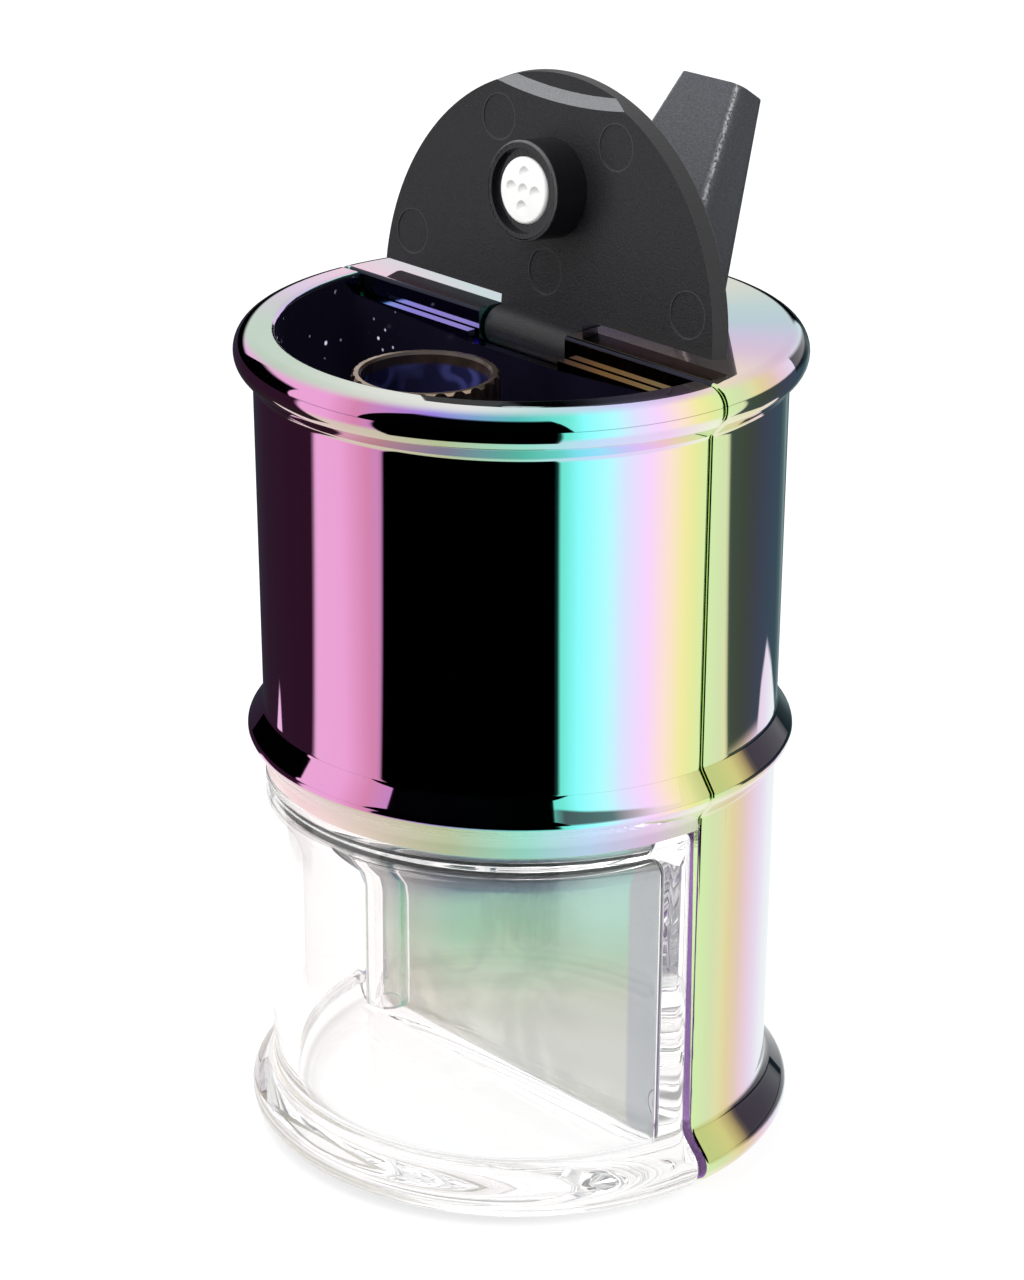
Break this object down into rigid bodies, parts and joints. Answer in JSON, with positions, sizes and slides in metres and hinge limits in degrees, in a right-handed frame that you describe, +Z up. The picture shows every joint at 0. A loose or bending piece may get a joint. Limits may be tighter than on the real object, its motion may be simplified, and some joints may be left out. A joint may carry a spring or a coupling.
{
  "type": "water-filtered electric vaporiser",
  "caption": "Barrel-shaped desktop vaporiser with a hinged lid over a screw-in heater, a pull-out water glass, a leaning mouthpiece and a battery in the rear half.",
  "frame": {"origin": "on the floor, on the barrel's axis, at the front edge of the rear shell's flat bottom", "axes": "+Z up along the barrel's axis, -Y towards the water glass and the heater, +Y towards the mouthpiece and the button, +X to the right as seen from the glass"},
  "size_m": [0.0678, 0.069, 0.1323],
  "materials": {
    "plated_shell": "mirror-bright rainbow plating",
    "black_plastic": "black, fine spark-eroded grain",
    "ceramic": "white fired ceramic, satin",
    "slate_plastic": "dark slate, fine spark-eroded grain",
    "clear_glass": "clear pressed glass, slightly wavy",
    "bronze": "dark bronze, satin",
    "steel": "bare steel",
    "dark_dish": "glossy navy glaze",
    "inner_plastic": "moulded black",
    "silicone": "soft, matt",
    "contact_brass": "turned",
    "cell_wrap": "shrink wrap over a steel can",
    "nickel_strip": "rolled strip",
    "board": "green solder resist",
    "light_plastic": "milky light guide",
    "button_plastic": "black, satin"
  },
  "bodies": {
    "base": {"rear_shell": "plated_shell", "chassis_plate": "plated_shell", "front_shell": "plated_shell", "manifold_block": "inner_plastic", "port_gaskets": "silicone", "socket_bush": "contact_brass", "socket_insulator": "inner_plastic", "centre_pin": "contact_brass", "air_duct": "inner_plastic", "battery_cell": "cell_wrap", "battery_cradle": "inner_plastic", "battery_tabs": "nickel_strip", "circuit_board": "board", "usb_socket": "steel", "tact_switch": "inner_plastic", "light_ring": "light_plastic", "plate_screws": "steel", "shell_screws": "steel", "hinge_pin": "steel"},
    "lid": {"lid": "black_plastic", "carb_cap": "black_plastic", "carb_insert": "ceramic"},
    "glass": {"glass_bubbler": "clear_glass", "downstem": "clear_glass"},
    "atomizer": {"atomizer_base": "steel", "atomizer_sleeve": "bronze", "heater_cup": "dark_dish"},
    "mouthpiece": {"mouthpiece": "slate_plastic", "mouthpiece_seal": "silicone"},
    "button": {"power_button": "button_plastic"}
  },
  "joints": [
    {"name": "lid_hinge", "type": "hinge", "parent": "base", "child": "lid", "pos_m": [0, 0.00295, 0.1013], "axis": [-1, 0, 0], "range_deg": [-96, 0]},
    {"name": "glass_slide", "type": "slide", "parent": "base", "child": "glass", "axis": [0, -1, 0], "range_m": [0, 0.045]},
    {"name": "atomizer_lift", "type": "slide", "parent": "base", "child": "atomizer", "axis": [0, 0, 1], "range_m": [0, 0.036]},
    {"name": "mouthpiece_lift", "type": "slide", "parent": "base", "child": "mouthpiece", "axis": [0, 0, 1], "range_m": [0, 0.012]},
    {"name": "power_button_press", "type": "slide", "parent": "base", "child": "button", "axis": [0, -1, 0], "range_m": [0, 0.0006], "stiffness_N_per_m": 800}
  ]
}
